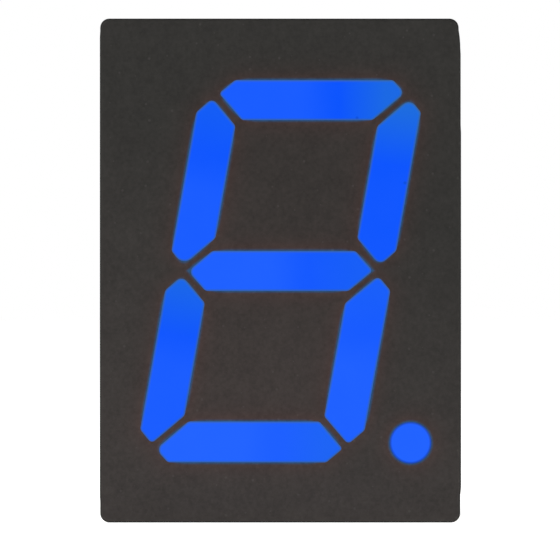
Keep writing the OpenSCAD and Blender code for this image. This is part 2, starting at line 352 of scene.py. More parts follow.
def litEpoxy(letter):
    material, tree = newMaterial(f"lit_epoxy_{letter}")
    place = millimetres(tree)
    before, past, dull, dullFrom = light["glow"][letter]
    turn = 0.0 if letter == "point" else math.pi / 2 if letter in crossBars else slant
    spot = lightSpots[letter] / mm
    own = addNode(  # the light's own directions: Z runs along it
        tree, "Mapping", {"Vector": place, "Location": (spot.x, 0, spot.z), "Rotation": (0, turn, 0)},
        vector_type="TEXTURE",
    )
    axes = addNode(tree, "SeparateXYZ", [own])
    start, end = light["glowTurns"]
    alongIt = addNode(
        tree, "MapRange",
        {"Value": axes.outputs["Z"], "From Min": start, "From Max": end, "To Min": before, "To Max": past},
        interpolation_type="SMOOTHSTEP",
    )
    haze = addNode(tree, "TexNoise", {"Vector": place, "Scale": 1 / light["hazeSize"], "Detail": 2.0})
    level = addNode(tree, "Math", [haze, light["haze"], alongIt], operation="MULTIPLY_ADD")
    level = addNode(tree, "Math", [level, light["haze"] / 2], operation="SUBTRACT", use_clamp=True)
    shade = addNode(
        tree, "Mix", {"Factor": level, "A": light["deep"], "B": light["bright"]}, data_type="RGBA",
    )
    faded = addNode(
        tree, "MapRange",
        {"Value": axes.outputs["Z"], "From Min": dullFrom, "From Max": light["dullEnd"], "To Max": dull},
    )
    shade = addNode(tree, "Mix", {"Factor": faded, "A": shade, "B": light["dull"]}, data_type="RGBA")
    rimTop = (faceY + light["sunk"]) / mm
    if letter in light["specks"]:
        x, z = light["specks"][letter]
        away = addNode(tree, "VectorMath", [place, (x, rimTop, z)], operation="DISTANCE")
        radius = light["speckRadius"]
        speck = addNode(
            tree, "MapRange",
            {"Value": away, "From Min": 0.5 * radius, "From Max": 1.3 * radius,
             "To Min": light["speckShare"], "To Max": 0},
        )
        shade = addNode(tree, "Mix", {"Factor": speck, "A": shade, "B": light["speck"]}, data_type="RGBA")
    # the rim: partly a dimmer glow where the epoxy thins, partly painted shade at the edge of the well
    rimFall = sum(fall for width, fall in light["rings"]) / mm
    rim = addNode(
        tree, "MapRange",
        {"Value": axes.outputs["Y"], "From Min": rimTop, "From Max": rimTop + rimFall,
         "To Min": light["rimShare"], "To Max": 0},
    )
    edge = light["pointRim" if letter == "point" else "rim"]
    shade = addNode(tree, "Mix", {"Factor": rim, "A": shade, "B": edge}, data_type="RGBA")
    shader = addNode(tree, "BsdfPrincipled", {
        "Base Color": light["unlit"], "Roughness": 0.3, "IOR": 1.5, "Specular IOR Level": 0.05,
        "Emission Color": shade, "Emission Strength": 1.0,
    })
    addNode(tree, "OutputMaterial", {"Surface": shader})
    return material


for letter in lights:
    modelLight(letter, litEpoxy(letter))
print("lights modelled")


# The housing: one moulding in milky polycarbonate, with a dark ink printed over its face.

housing = {
    "sideRadius": 0.32 * mm,
    "faceRadius": 0.12 * mm,
    "wellRadius": 0.3 * mm,
    "rimSoftening": 0.05 * mm,
    "trims": [  # side, from and to in Z, and depth, mm: where flash was shaved off beside the face
        (1, 4.9, 9.0, 0.013), (1, 7.6, 9.0, 0.014), (1, 7.95, 9.0, 0.02), (1, 8.2, 9.0, 0.036),
        (1, -9.0, -7.65, 0.028), (-1, 8.15, 9.0, 0.012), (-1, -9.0, -7.9, 0.012),
    ],
    "trimZone": (0.4 * mm, 0.5 * mm),  # what a trim takes, in from the side and back from the face
    "trimReach": 4.0 * mm,  # behind the face, where it has run out
    "trimRamp": 0.13 * mm,
    "pocketSkin": 1.0 * mm,
    "pocketWall": 0.5 * mm,
    "pocketRadius": 0.4 * mm,
    "troughHeight": 1.0 * mm,
    "troughDepth": 0.7 * mm,
    "cutPast": 0.5 * mm,  # how far a cutting shape reaches past what it cuts
    "plastic": ("#cfccc2", "#d6d3ca"),
    "plasticRoughness": 0.46,
    "rubbed": 0.12,  # how much smoother where it was handled most
    "cloudSize": 1 / 0.35,  # mm
    "grain": 0.14,  # mm, its spark-eroded skin, drawn twice as coarse as it is so that it shows
    "grainDepth": 0.008 * mm,
    # painted light: the ink is drawn darker at the top and lighter at the bottom, as the light falls across
    # the face
    "inkShadedTop": "#292826",
    "inkLitBottom": "#35312f",
    # painted shade: the ink's colour where it turns over the face's edges
    "inkEdgeShade": "#1d1c1b",
    "inkRoughness": 0.58,
    "paintedLightLean": 0.37,  # painted light: the ink's tone changes down the face, and this much as fast across it
    "paintedLightSpan": (3.5, -7.5),  # mm
    "paintedGlowNearLight": (0.018, 0.0016, 0.0012, 1.0),  # painted glow, linear, added right beside a light
    "paintedGlowInWindow": (0.0037, 0.0008, 0.0007, 1.0),  # painted glow, linear, added inside the digit's windows
    "windowSoftness": 0.5,  # mm, to each side of their outline
    "glowFade": 0.25,  # mm, how soon the painted glow beside a light dies away
    "blueGlow": "#004e7a",  # painted glow: the light's own blue, painted on the ink right beside it
    "blueGlowShare": 0.68,
    "blueGlowFade": 0.052,  # mm
    "mottle": 0.22,
    "mottleSize": 1 / 1.3,  # mm
    "inkGrain": 0.13,  # mm
    "dust": (0.012, 0.0115, 0.011, 1.0),  # linear, added by a pale speck
    "dustCell": 0.9,  # mm, one speck in each
    "dustSize": 0.05,  # mm, the largest speck's radius
    "edgeShade": (0.012, 0.04),  # mm behind the face, where painted shade darkens the ink as it turns over the edge
    "border": 0.34,  # mm behind the face
    "borderSoftness": 0.04,  # mm
    "borderWander": 0.12,  # mm
    "wanderSize": 1 / 2.2,  # mm
    # The digit's outlines before its slant, mm. Every mitre runs at 45 degrees, so its line is a sum
    # or a difference of x and z. But for the cores' errors, all four quarters of the digit are alike.
    "digitHalfWidth": 3.88,
    "cornerSum": 9.35,
    "cornerStep": 2.73,
    "waist": 3.38,
    "notch": 3.2,
    "mitreGap": 0.198,
    "cornerBlend": 0.6,  # how roundly the distance from a light turns its corners
}


def wellCutter(letter):
    cutter = faceOutline(letter, f"well_{letter}")
    narrowToFloor(cutter, letter)
    pick(cutter, "FACE", liesInFace)
    extrudeBy(0, -housing["cutPast"], 0)
    pick(cutter, "FACE")
    bpy.ops.mesh.normals_make_consistent(inside=False)
    return cutter


def pocketCutter(half):  # behind a window of the digit; half is 1 for the upper and -1 for the lower
    wall = housing["pocketWall"]
    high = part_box("lens_a")[0].z - wall
    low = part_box("lens_g")[1].z + wall
    reach = (lightSpots["b"].x - lightSpots["f"].x) / 2 - stroke / 2 - wall
    zs = sorted((half * low, half * high))
    cutter = addBlock(
        "pocket",
        Vector((-reach, faceY + housing["pocketSkin"], zs[0])),
        Vector((reach, boardFrontY + housing["cutPast"], zs[1])),
    )
    takeUp(cutter, "EDIT")
    for z in zs:
        pick(cutter, "VERT", lambda vert: abs(vert.co.z - z) < samePlace)
        bpy.ops.transform.translate(value=(z * math.tan(slant), 0, 0))
    roundEdges(cutter, housing["pocketRadius"], 4, lambda edge: runsAlong(edge, 1))
    return cutter


def troughCutter(half):  # clears the heads of a row of pins
    z = half * pinSpots[6].z
    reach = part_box("circuit_board")[1].x
    height = housing["troughHeight"]
    return addBlock(
        "trough",
        Vector((-reach, boardFrontY - housing["troughDepth"], z - height / 2)),
        Vector((reach, boardFrontY + housing["cutPast"], z + height / 2)),
    )


def trimSides(piece, high):
    takeUp(piece, "EDIT")
    sliceAcross(piece, 1, faceY + housing["trimReach"])
    fromSide, fromFace = housing["trimZone"]
    for side, start, end, depth in housing["trims"]:
        for z in (start, end):
            sliceAcross(piece, 2, z * mm - housing["trimRamp"])
            sliceAcross(piece, 2, z * mm + housing["trimRamp"])
        pick(piece, "VERT", lambda vert: vert.co.y < faceY + fromFace
             and vert.co.x * side > high.x - fromSide and start < vert.co.z / mm < end)
        bpy.ops.transform.translate(value=(-side * depth * mm, 0, 0))


def modelHousing(material):
    low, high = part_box("housing")
    shell = addBlock("housing_moulding", low, high)
    takeUp(shell, "EDIT")
    pick(shell, "FACE", lambda face: face.normal.y > 0.9)
    bpy.ops.mesh.inset(thickness=high.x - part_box("potting")[1].x)
    extrudeBy(0, boardFrontY - rimY, 0)
    roundEdges(shell, housing["sideRadius"], 8,
               lambda edge: runsAlong(edge, 1) and placeOf(edge).y < boardFrontY)
    roundEdges(shell, housing["wellRadius"], 6,
               lambda edge: runsAlong(edge, 1) and placeOf(edge).y > boardFrontY)
    roundEdges(shell, housing["faceRadius"], 6, lambda edge: liesAt(edge, faceY))
    roundEdges(shell, housing["rimSoftening"], 3,
               lambda edge: liesAt(edge, rimY) and any(abs(face.normal.y) < 0.1 for face in edge.link_faces))
    trimSides(shell, high)

    cutters = [wellCutter(letter) for letter in lights]
    cutters += [cutter(half) for cutter in (pocketCutter, troughCutter) for half in (-1, 1)]
    cutWith(shell, joinAll(cutters))

    takeUp(shell, "EDIT")
    pick(shell, "FACE", lambda face: face.normal.y < -0.999 and liesInFace(face))
    bpy.ops.mesh.dissolve_limited(angle_limit=flatAngle)
    finishPiece(shell, material, ["housing"])


def uprightX(tree, axes):  # X with the digit's slant taken out
    return addNode(
        tree, "Math", [axes.outputs["Z"], -math.tan(slant), axes.outputs["X"]], operation="MULTIPLY_ADD",
    )


def distanceToLights(tree, axes):  # in mm, and below zero inside a light's outline
    upright = uprightX(tree, axes)
    x = addNode(tree, "Math", [upright], operation="ABSOLUTE")
    z = addNode(tree, "Math", [axes.outputs["Z"]], operation="ABSOLUTE")
    inRight = addNode(tree, "Math", [upright, 0], operation="GREATER_THAN")
    inTop = addNode(tree, "Math", [axes.outputs["Z"], 0], operation="GREATER_THAN")
    total = addNode(tree, "Math", [x, z], operation="ADD")
    step = addNode(tree, "Math", [z, x], operation="SUBTRACT")
    diagonal = math.sqrt(0.5)
    halfStroke = stroke / mm / 2

    def band(value, middle, half):
        offset = addNode(tree, "Math", [value, middle], operation="SUBTRACT")
        offset = addNode(tree, "Math", [offset], operation="ABSOLUTE")
        return addNode(tree, "Math", [offset, half], operation="SUBTRACT")

    def mitre(value, way, line):  # way is 1 where the light lies below the line, -1 above it
        return addNode(
            tree, "Math", [value, way * diagonal, -way * line * diagonal], operation="MULTIPLY_ADD",
        )

    def outwards(letter):  # how far a core stands out from the digit's middle, and half its width
        move, growth, radii = light["cores"][letter]
        if letter in crossBars:
            return (-move[1] if letter == "d" else move[1]), halfStroke + growth[1] / 2
        aside = move[0] - move[1] * math.tan(slant)
        return (aside if letter in "bc" else -aside), halfStroke + growth[0] / 2

    def byHalf(upper, lower, number):
        return addNode(
            tree, "Mix", {"Factor": inTop, "A": outwards(lower)[number], "B": outwards(upper)[number]},
        )

    def byQuarter(number):
        return addNode(
            tree, "Mix", {"Factor": inRight, "A": byHalf("f", "e", number), "B": byHalf("b", "c", number)},
        )

    def choose(operation, distances):
        chosen = distances[0]
        for distance in distances[1:]:
            chosen = addNode(tree, "Math", [chosen, distance, housing["cornerBlend"]], operation=operation)
        return chosen

    gap = housing["mitreGap"]
    top = choose("SMOOTH_MAX", [
        band(
            addNode(tree, "Math", [z, byHalf("a", "d", 0)], operation="SUBTRACT"),
            lightSpots["a"].z / mm, byHalf("a", "d", 1),
        ),
        mitre(total, 1, housing["cornerSum"]),
        mitre(step, -1, housing["cornerStep"] + gap),
    ])
    side = choose("SMOOTH_MAX", [
        band(
            addNode(tree, "Math", [x, byQuarter(0)], operation="SUBTRACT"),
            housing["digitHalfWidth"] - halfStroke, byQuarter(1),
        ),
        mitre(total, 1, housing["cornerSum"]),
        mitre(step, 1, housing["cornerStep"] - gap),
        mitre(total, -1, housing["waist"] + gap),
        mitre(step, -1, -housing["notch"]),
    ])
    middle = choose("SMOOTH_MAX", [
        band(axes.outputs["Z"], *outwards("g")),
        mitre(total, 1, housing["waist"] - gap),
    ])
    spot = lightSpots["point"] / mm
    flat = addNode(tree, "CombineXYZ", {"X": axes.outputs["X"], "Z": axes.outputs["Z"]})
    fromSpot = addNode(tree, "VectorMath", [flat, (spot.x, 0, spot.z)], operation="DISTANCE")
    dot = addNode(tree, "Math", [fromSpot, spanOf("lens_point", 0) / 2 / mm], operation="SUBTRACT")
    return choose("MINIMUM", [top, side, middle, dot])


def windowMask(tree, axes):  # 1 inside the digit's outline
    upright = uprightX(tree, axes)
    across = addNode(tree, "Math", [upright], operation="ABSOLUTE")
    alongZ = addNode(tree, "Math", [axes.outputs["Z"]], operation="ABSOLUTE")
    halfWidth = (lightSpots["b"].x - lightSpots["f"].x) / 2 / mm
    acrossPast = addNode(tree, "Math", [across, halfWidth], operation="SUBTRACT")
    alongPast = addNode(tree, "Math", [alongZ, lightSpots["a"].z / mm], operation="SUBTRACT")
    pastEdge = addNode(tree, "Math", [acrossPast, alongPast], operation="MAXIMUM")
    softness = housing["windowSoftness"]
    return addNode(
        tree, "MapRange", {"Value": pastEdge, "From Min": softness, "From Max": -softness},
        interpolation_type="SMOOTHSTEP",
    )


# Moulded polycarbonate with a screen-printed ink. Up close the ink is an even satin film with a faint mottle
# and some pale dust.
# Painted light on it: a tone that lightens towards the lower left, a warm glow and a blue glow beside the
# lights, and painted shade where it turns over the face's edges. It ends there in an uneven border on the
# pale, matt plastic.

def printedPolycarbonate():
    material, tree = newMaterial("printed_polycarbonate")
    place = millimetres(tree)
    axes = addNode(tree, "SeparateXYZ", [place])
    depth = addNode(tree, "Math", [axes.outputs["Y"], faceY / mm], operation="SUBTRACT")

    # painted light on the ink: lighter and warmer towards the lower left, as the light falls across the face
    lean = addNode(
        tree, "Math", [axes.outputs["X"], housing["paintedLightLean"], axes.outputs["Z"]],
        operation="MULTIPLY_ADD",
    )
    start, end = housing["paintedLightSpan"]
    fall = addNode(tree, "MapRange", {"Value": lean, "From Min": start, "From Max": end})
    tone = addNode(
        tree, "Mix", {"Factor": fall, "A": housing["inkShadedTop"], "B": housing["inkLitBottom"]}, data_type="RGBA",
    )

    # painted glow: a warm cast of the lights' spill beside each light, and over the windows between the
    # lights
    away = addNode(tree, "Math", [distanceToLights(tree, axes), 0], operation="MAXIMUM")
    glowFalloff = addNode(tree, "Math", [math.exp(-1 / housing["glowFade"]), away], operation="POWER")
    for share, cast in ((windowMask(tree, axes), "paintedGlowInWindow"), (glowFalloff, "paintedGlowNearLight")):
        tone = addNode(
            tree, "Mix", {"Factor": share, "A": tone, "B": housing[cast]},
            data_type="RGBA", blend_type="ADD",
        )

    # painted glow: the light's blue right at its edge, as a bell curve
    inFades = addNode(tree, "Math", [away, housing["blueGlowFade"]], operation="DIVIDE")
    squared = addNode(tree, "Math", [inFades, 2], operation="POWER")
    blueGlowMask = addNode(tree, "Math", [math.exp(-1), squared], operation="POWER")
    blueGlowMask = addNode(tree, "Math", [blueGlowMask, housing["blueGlowShare"]], operation="MULTIPLY")
    tone = addNode(tree, "Mix", {"Factor": blueGlowMask, "A": tone, "B": housing["blueGlow"]}, data_type="RGBA")

    # mottle, grain and dust of the film
    grain = addNode(
        tree, "TexNoise",
        {"Vector": place, "Scale": 1 / housing["inkGrain"], "Detail": 2.0, "Roughness": 0.6},
    )
    blotches = addNode(
        tree, "TexNoise", {"Vector": place, "Scale": 1 / housing["mottleSize"], "Detail": 3.0},
    )
    unevenness = addNode(tree, "Math", [blotches, 0.5, grain], operation="MULTIPLY_ADD")
    strength = addNode(
        tree, "MapRange",
        {"Value": unevenness, "From Min": 0.45, "From Max": 1.05,
         "To Min": 1 - housing["mottle"], "To Max": 1 + housing["mottle"]},
    )
    tone = addNode(tree, "VectorMath", {0: tone, "Scale": strength}, operation="SCALE")
    flat = addNode(tree, "CombineXYZ", [axes.outputs["X"], axes.outputs["Z"]])
    specks = addNode(
        tree, "TexVoronoi", {"Vector": flat, "Scale": 1 / housing["dustCell"]}, voronoi_dimensions="2D",
    )
    chance = addNode(tree, "SeparateXYZ", [specks.outputs["Color"]])
    beyond = addNode(
        tree, "Math", [chance, -housing["dustSize"] / housing["dustCell"], specks.outputs["Distance"]],
        operation="MULTIPLY_ADD",
    )
    dust = addNode(
        tree, "MapRange", {"Value": beyond, "From Min": -0.012, "From Max": 0.006, "To Min": 1, "To Max": 0},
    )
    tone = addNode(
        tree, "Mix", {"Factor": dust, "A": tone, "B": housing["dust"]}, data_type="RGBA", blend_type="ADD",
    )
    # painted shade where the ink turns over the face's edges, away from the light
    start, end = housing["edgeShade"]
    edgeShade = addNode(
        tree, "MapRange", {"Value": depth, "From Min": start, "From Max": end},
        interpolation_type="SMOOTHSTEP",
    )
    tone = addNode(tree, "Mix", {"Factor": edgeShade, "A": tone, "B": housing["inkEdgeShade"]}, data_type="RGBA")

    # where the film ends on the side walls
    wander = addNode(
        tree, "TexNoise",
        {"Vector": place, "Scale": 1 / housing["wanderSize"], "Detail": 4.0, "Roughness": 0.6},
    )
    wandered = addNode(tree, "Math", [wander, housing["borderWander"], depth], operation="MULTIPLY_ADD")
    border = housing["border"]
    inked = addNode(
        tree, "MapRange",
        {"Value": wandered, "From Min": border, "From Max": border + housing["borderSoftness"],
         "To Min": 1, "To Max": 0},
    )

    # the bare plastic: milky, with a matt spark-eroded skin, and here and there rubbed a little smoother
    cloud = addNode(tree, "TexNoise", {"Vector": place, "Scale": 1 / housing["cloudSize"], "Detail": 2.0})
    darker, paler = housing["plastic"]
    plastic = addNode(tree, "Mix", {"Factor": cloud, "A": darker, "B": paler}, data_type="RGBA")
    skin = addNode(
        tree, "TexNoise", {"Vector": place, "Scale": 1 / housing["grain"], "Detail": 3.0, "Roughness": 0.7},
    )
    colour = addNode(tree, "Mix", {"Factor": inked, "A": plastic, "B": tone}, data_type="RGBA")
    rubbed = addNode(
        tree, "MapRange",
        {"Value": cloud, "From Min": 0.4, "From Max": 0.65, "To Max": housing["rubbed"]},
    )
    smooth = addNode(tree, "Math", [housing["plasticRoughness"], rubbed], operation="SUBTRACT")
    matt = addNode(tree, "Mix", {"Factor": inked, "A": smooth, "B": housing["inkRoughness"]})
    roughness = addNode(tree, "Math", [skin, 0.1, matt], operation="MULTIPLY_ADD")
    rough = addNode(tree, "Mix", {"Factor": inked, "A": 1.0, "B": 0.25})
    height = addNode(tree, "Math", [skin, rough], operation="MULTIPLY")
    bump = addNode(tree, "Bump", {"Height": height, "Strength": 0.3, "Distance": housing["grainDepth"]})
    shader = addNode(tree, "BsdfPrincipled", {
        "Base Color": colour, "Roughness": roughness, "Normal": bump, "IOR": 1.58,
        "Specular IOR Level": 0.12,
    })
    addNode(tree, "OutputMaterial", {"Surface": shader})
    return material


modelHousing(printedPolycarbonate())
print("housing modelled")


# Pins: round wire, dipped in tin after the wells were filled, so that the coat starts behind the rim.

pinShape = {
    "sides": 32,
    "tinStart": 0.3 * mm,  # behind the housing's rim
    "tinStep": 0.02 * mm,
    "coreShare": 0.94,  # thickness in front of the tin coat
    "tipShare": 0.8,  # thickness at the cut end
    "tipLength": 0.16 * mm,
    "endBevel": 0.05 * mm,
    "wire": ("#b3b5b4", "#d8d8d3"),
    "roughness": (0.16, 0.36),
    "lineSize": (1 / 30, 1 / 0.7),  # mm, across and along the wire
    "waveSize": 1 / 2.6,  # mm
    "waveHeight": 0.02 * mm,
}


def modelPin(spot):
    low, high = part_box("pin_1")
    takeUp(None)
    bpy.ops.mesh.primitive_cylinder_add(
        vertices=pinShape["sides"], radius=(high.x - low.x) / 2, depth=high.y - low.y,
        location=spot, rotation=(math.pi / 2, 0, 0),
    )
    pin = bpy.context.object
    bpy.ops.object.transform_apply(location=True, rotation=True, scale=True)
    takeUp(pin, "EDIT")
    tinned = rimY + pinShape["tinStart"]
    for y in (tinned, tinned + pinShape["tinStep"], high.y - pinShape["tipLength"]):
        sliceAcross(pin, 1, y)
    core = pinShape["coreShare"]
    pick(pin, "VERT", lambda vert: vert.co.y < tinned + pinShape["tinStep"] / 2)
    bpy.ops.transform.resize(value=(core, 1, core), center_override=spot)
    tip = pinShape["tipShare"]
    pick(pin, "VERT", lambda vert: vert.co.y > high.y - pinShape["tipLength"] / 2)
    bpy.ops.transform.resize(value=(tip, 1, tip), center_override=spot)
    roundEdges(pin, pinShape["endBevel"], 3,
               lambda edge: any(abs(face.normal.y) > 0.99 for face in edge.link_faces))
    takeUp(pin)
    return pin


# Drawn wire under a thin tin coat: bright, with fine lines along it and a soft waviness where tin gathered.

def tinnedWire():
    material, tree = newMaterial("tinned_wire")
    place = millimetres(tree)
    across, along = (1 / size for size in pinShape["lineSize"])
    stretched = addNode(tree, "VectorMath", [place, (across, along, across)], operation="MULTIPLY")
    lines = addNode(tree, "TexNoise", {"Vector": stretched, "Scale": 1, "Detail": 2.0})
    waves = addNode(
        tree, "TexNoise",
        {"Vector": place, "Scale": 1 / pinShape["waveSize"], "Detail": 3.0, "Roughness": 0.6},
    )
    darker, paler = pinShape["wire"]
    tone = addNode(tree, "Mix", {"Factor": waves, "A": darker, "B": paler}, data_type="RGBA")
    low, high = pinShape["roughness"]
    roughness = addNode(
        tree, "MapRange", {"Value": lines, "From Min": 0.3, "From Max": 0.7, "To Min": low, "To Max": high},
    )
    height = addNode(tree, "Math", [lines, 0.25, waves], operation="MULTIPLY_ADD")
    bump = addNode(tree, "Bump", {"Height": height, "Strength": 0.5, "Distance": pinShape["waveHeight"]})
    shader = addNode(tree, "BsdfPrincipled", {
        "Base Color": tone, "Metallic": 1.0, "Roughness": roughness, "Normal": bump,
    })
    addNode(tree, "OutputMaterial", {"Surface": shader})
    return material


# Solder: a cone drawn up each pin by wetting, a barrel through the board and a small cone in front.

solderShape = {
    "sides": 28,
    "height": 0.55 * mm,
    "frontHeight": 0.18 * mm,
    "bite": 0.01 * mm,  # into the pin
    "unevenness": 0.012 * mm,
    "evenFoot": 0.05 * mm,  # beside the board, where it stays even
    "steps": 6,
    "tin": ("#a9acad", "#d2d4d3"),
    "roughness": (0.22, 0.42),
    "grainSize": 1 / 9,  # mm
    "grainDepth": 0.01 * mm,
    "patchSize": 0.25,  # mm
}


def modelSolder(spot):
    coreRadius = spanOf("pin_1", 0) / 2 * pinShape["coreShare"] - solderShape["bite"]
    padRadius = spanOf("solder_1", 0) / 2
    barrelRadius = (coreRadius + padRadius) / 2
    steps = solderShape["steps"]
    turns = [math.radians(90) * number / steps for number in range(steps + 1)]

    def cone(y, height):  # each ring's radius and place, from the pad to the pin
        return [(coreRadius + (padRadius - coreRadius) * (1 - math.sin(turn)),
                 y + height * (1 - math.cos(turn))) for turn in turns]

    rings = cone(boardBackY, solderShape["height"])
    rings += [(coreRadius, boardFrontY)]
    rings += reversed(cone(boardFrontY, -solderShape["frontHeight"]))
    rings += [(barrelRadius, boardFrontY), (barrelRadius, boardBackY)]
    takeUp(None)
    bpy.ops.mesh.primitive_circle_add(
        vertices=solderShape["sides"], radius=rings[0][0], fill_type="NOTHING",
        location=(spot.x, rings[0][1], spot.z), rotation=(math.pi / 2, 0, 0),
    )
    joint = bpy.context.object
    bpy.ops.object.transform_apply(location=True, rotation=True, scale=True)
    takeUp(joint, "EDIT")
    pick(joint, "EDGE")
    for (radius, y), (newRadius, newY) in zip(rings, rings[1:]):
        extrudeBy(0, newY - y, 0)
        share = newRadius / radius
        bpy.ops.transform.resize(value=(share, 1, share), center_override=(spot.x, newY, spot.z))
    pick(joint, "EDGE", lambda edge: edge.is_boundary)
    bpy.ops.mesh.bridge_edge_loops()
    pick(joint, "VERT", lambda vert: vert.co.y > boardBackY + solderShape["evenFoot"])
    bpy.ops.transform.vertex_random(offset=solderShape["unevenness"], uniform=0.3, normal=0.7, seed=4)
    takeUp(joint)
    return joint


# Solder that froze slowly: bright tin alloy with a faint grain and satin patches.

def frozenSolder():
    material, tree = newMaterial("frozen_solder")
    place = millimetres(tree)
    grains = addNode(tree, "TexVoronoi", {"Vector": place, "Scale": 1 / solderShape["grainSize"]})
    patches = addNode(
        tree, "TexNoise", {"Vector": place, "Scale": 1 / solderShape["patchSize"], "Detail": 3.0},
    )
    darker, paler = solderShape["tin"]
    tone = addNode(tree, "Mix", {"Factor": patches, "A": darker, "B": paler}, data_type="RGBA")
    low, high = solderShape["roughness"]
    roughness = addNode(
        tree, "MapRange", {"Value": grains, "From Max": 0.6, "To Min": low, "To Max": high},
    )
    height = addNode(tree, "Math", [patches, 2.0, grains], operation="MULTIPLY_ADD")
    bump = addNode(tree, "Bump", {"Height": height, "Strength": 0.4, "Distance": solderShape["grainDepth"]})
    shader = addNode(tree, "BsdfPrincipled", {
        "Base Color": tone, "Metallic": 1.0, "Roughness": roughness, "Normal": bump,
    })
    addNode(tree, "OutputMaterial", {"Surface": shader})
    return material


wire = tinnedWire()
solder = frozenSolder()
firstPin = modelPin(pinSpots[1])
firstJoint = modelSolder(pinSpots[1])
for number in pinNumbers:
    turn = 2.4 * number  # each one comes round differently
    pin = placeCopy(firstPin, f"tinned_pin_{number}", pinSpots[1], pinSpots[number], turn)
    finishPiece(pin, wire, [f"pin_{number}"])
    joint = placeCopy(firstJoint, f"solder_joint_{number}", pinSpots[1], pinSpots[number], turn)
    finishPiece(joint, solder, [f"solder_{number}"], smoothAngle=50)
for piece in (firstPin, firstJoint):
    bpy.data.objects.remove(piece)
print("pins and solder modelled")


# The potting: clear epoxy poured over the board's back, which crept up the walls and the pins as it set.

potting = {
    "cell": 0.16 * mm,
    "wallClimb": 0.14 * mm,
    "wallReach": 0.7 * mm,
    "pinClimb": 0.12 * mm,
    "pinFoot": 0.28 * mm,  # from a pin's middle, where it stands highest
    "pinReach": 0.5 * mm,
    "swell": 0.05 * mm,
    "swellSize": 3 * mm,
    "bite": 0.02 * mm,  # into the wall
    "inBoard": 0.1 * mm,  # how far its hidden side lies in the board
    "wellPast": 1 * mm,  # how far the shape that trims it reaches past it
    "tones": ("#d3d8cc", "#eceee6"),
    "hazeSize": 2.0,  # mm
    "clearness": 0.72,
    "gloss": 1.0,
    "roughness": (0.03, 0.12),
    "bubbleCell": 1 / 0.9,  # mm, one bubble in each
    "rippleSize": 1 / 1.4,  # mm
    "rippleHeight": 0.03 * mm,
}


def nearPin(vert):
    return any(
        math.hypot(vert.co.x - spot.x, vert.co.z - spot.z) < potting["pinFoot"]
        for spot in pinSpots.values()
    )


def climb(height, reach):  # lifts what is picked, and what lies round it less and less
    bpy.ops.transform.translate(
        value=(0, height, 0), use_proportional_edit=True,
        proportional_edit_falloff="SHARP", proportional_size=reach,
    )


def modelPotting(material):
    low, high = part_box("potting")
    size = high - low
    bite = potting["bite"]
    takeUp(None)
    bpy.ops.mesh.primitive_grid_add(
        x_subdivisions=round(size.x / potting["cell"]),
        y_subdivisions=round(size.z / potting["cell"]),
        size=1, location=(0, high.y, 0), rotation=(-math.pi / 2, 0, 0),
        scale=(size.x + 2 * bite, size.z + 2 * bite, 1),
    )
    pour = bpy.context.object
    pour.name = "epoxy_potting"
    bpy.ops.object.transform_apply(location=True, rotation=True, scale=True)
    takeUp(pour, "EDIT")
    pick(pour, "VERT", lambda vert: abs(vert.co.x) > high.x or abs(vert.co.z) > high.z)
    climb(potting["wallClimb"], potting["wallReach"])
    pick(pour, "VERT", nearPin)
    climb(potting["pinClimb"], potting["pinReach"])
    takeUp(pour)
    swell = pour.modifiers.new("swell", "DISPLACE")
    swell.texture = bpy.data.textures.new("swell", "CLOUDS")
    swell.texture.noise_scale = potting["swellSize"]
    swell.strength = potting["swell"]
    bpy.ops.object.modifier_apply(modifier=swell.name)
    takeUp(pour, "EDIT")
    pick(pour, "FACE")
    backY = boardBackY - potting["inBoard"]
    extrudeBy(0, backY - high.y, 0)
    bpy.ops.transform.resize(value=(1, 0, 1), center_override=(0, backY, 0))

    # the corners of the well
    reach = Vector((bite, potting["wellPast"], bite))
    well = addBlock("well_space", low - reach, high + reach)
    takeUp(well, "EDIT")
    roundEdges(well, housing["wellRadius"], 6, lambda edge: runsAlong(edge, 1))
    cutWith(pour, well, "INTERSECT")
    finishPiece(pour, material, ["potting"], smoothAngle=45)


# Poured epoxy that set slightly hazy: a wet gloss, the board dim beneath it, a few small bubbles.

def hazyEpoxy():
    material, tree = newMaterial("hazy_epoxy")
    place = millimetres(tree)
    haze = addNode(tree, "TexNoise", {"Vector": place, "Scale": 1 / potting["hazeSize"], "Detail": 3.0})
    darker, paler = potting["tones"]
    tone = addNode(tree, "Mix", {"Factor": haze, "A": darker, "B": paler}, data_type="RGBA")
    low, high = potting["roughness"]
    roughness = addNode(tree, "MapRange", {"Value": haze, "To Min": low, "To Max": high})
    bubbles = addNode(
        tree, "TexVoronoi", {"Vector": place, "Scale": 1 / potting["bubbleCell"], "Randomness": 1.0},
    )
    rise = addNode(
        tree, "MapRange", {"Value": bubbles, "From Min": 0.06, "From Max": 0.1, "To Min": 1, "To Max": 0},
        interpolation_type="SMOOTHSTEP",
    )
    ripple = addNode(tree, "TexNoise", {"Vector": place, "Scale": 1 / potting["rippleSize"], "Detail": 1.0})
    height = addNode(tree, "Math", [rise, 0.6, ripple], operation="MULTIPLY_ADD")
    bump = addNode(tree, "Bump", {"Height": height, "Strength": 0.3, "Distance": potting["rippleHeight"]})
    shader = addNode(tree, "BsdfPrincipled", {
        "Base Color": tone, "Roughness": roughness, "Normal": bump, "IOR": 1.54,
        "Specular IOR Level": potting["gloss"], "Alpha": 1 - potting["clearness"],
    })
    addNode(tree, "OutputMaterial", {"Surface": shader})
    return material


modelPotting(hazyEpoxy())
print("potting modelled")


# The board under the potting: woven glass laminate under green resist.

board = {
    "resist": ("#154a2c", "#1c5a36"),
    "resistRoughness": (0.25, 0.4),
    "resistCloud": 1 / 0.9,  # mm
    "weave": 0.5,  # mm from thread to thread
    "overCopper": ("#3f7742", "#4d8a4e"),
    "copperRoughness": (0.22, 0.38),
    "copperCloud": 1 / 1.7,  # mm
    "relief": 0.01 * mm,
    "pad": "#b9bcbb",
    "padMargin": (0.03, 0.05),  # mm past the solder, where the tin ends
}


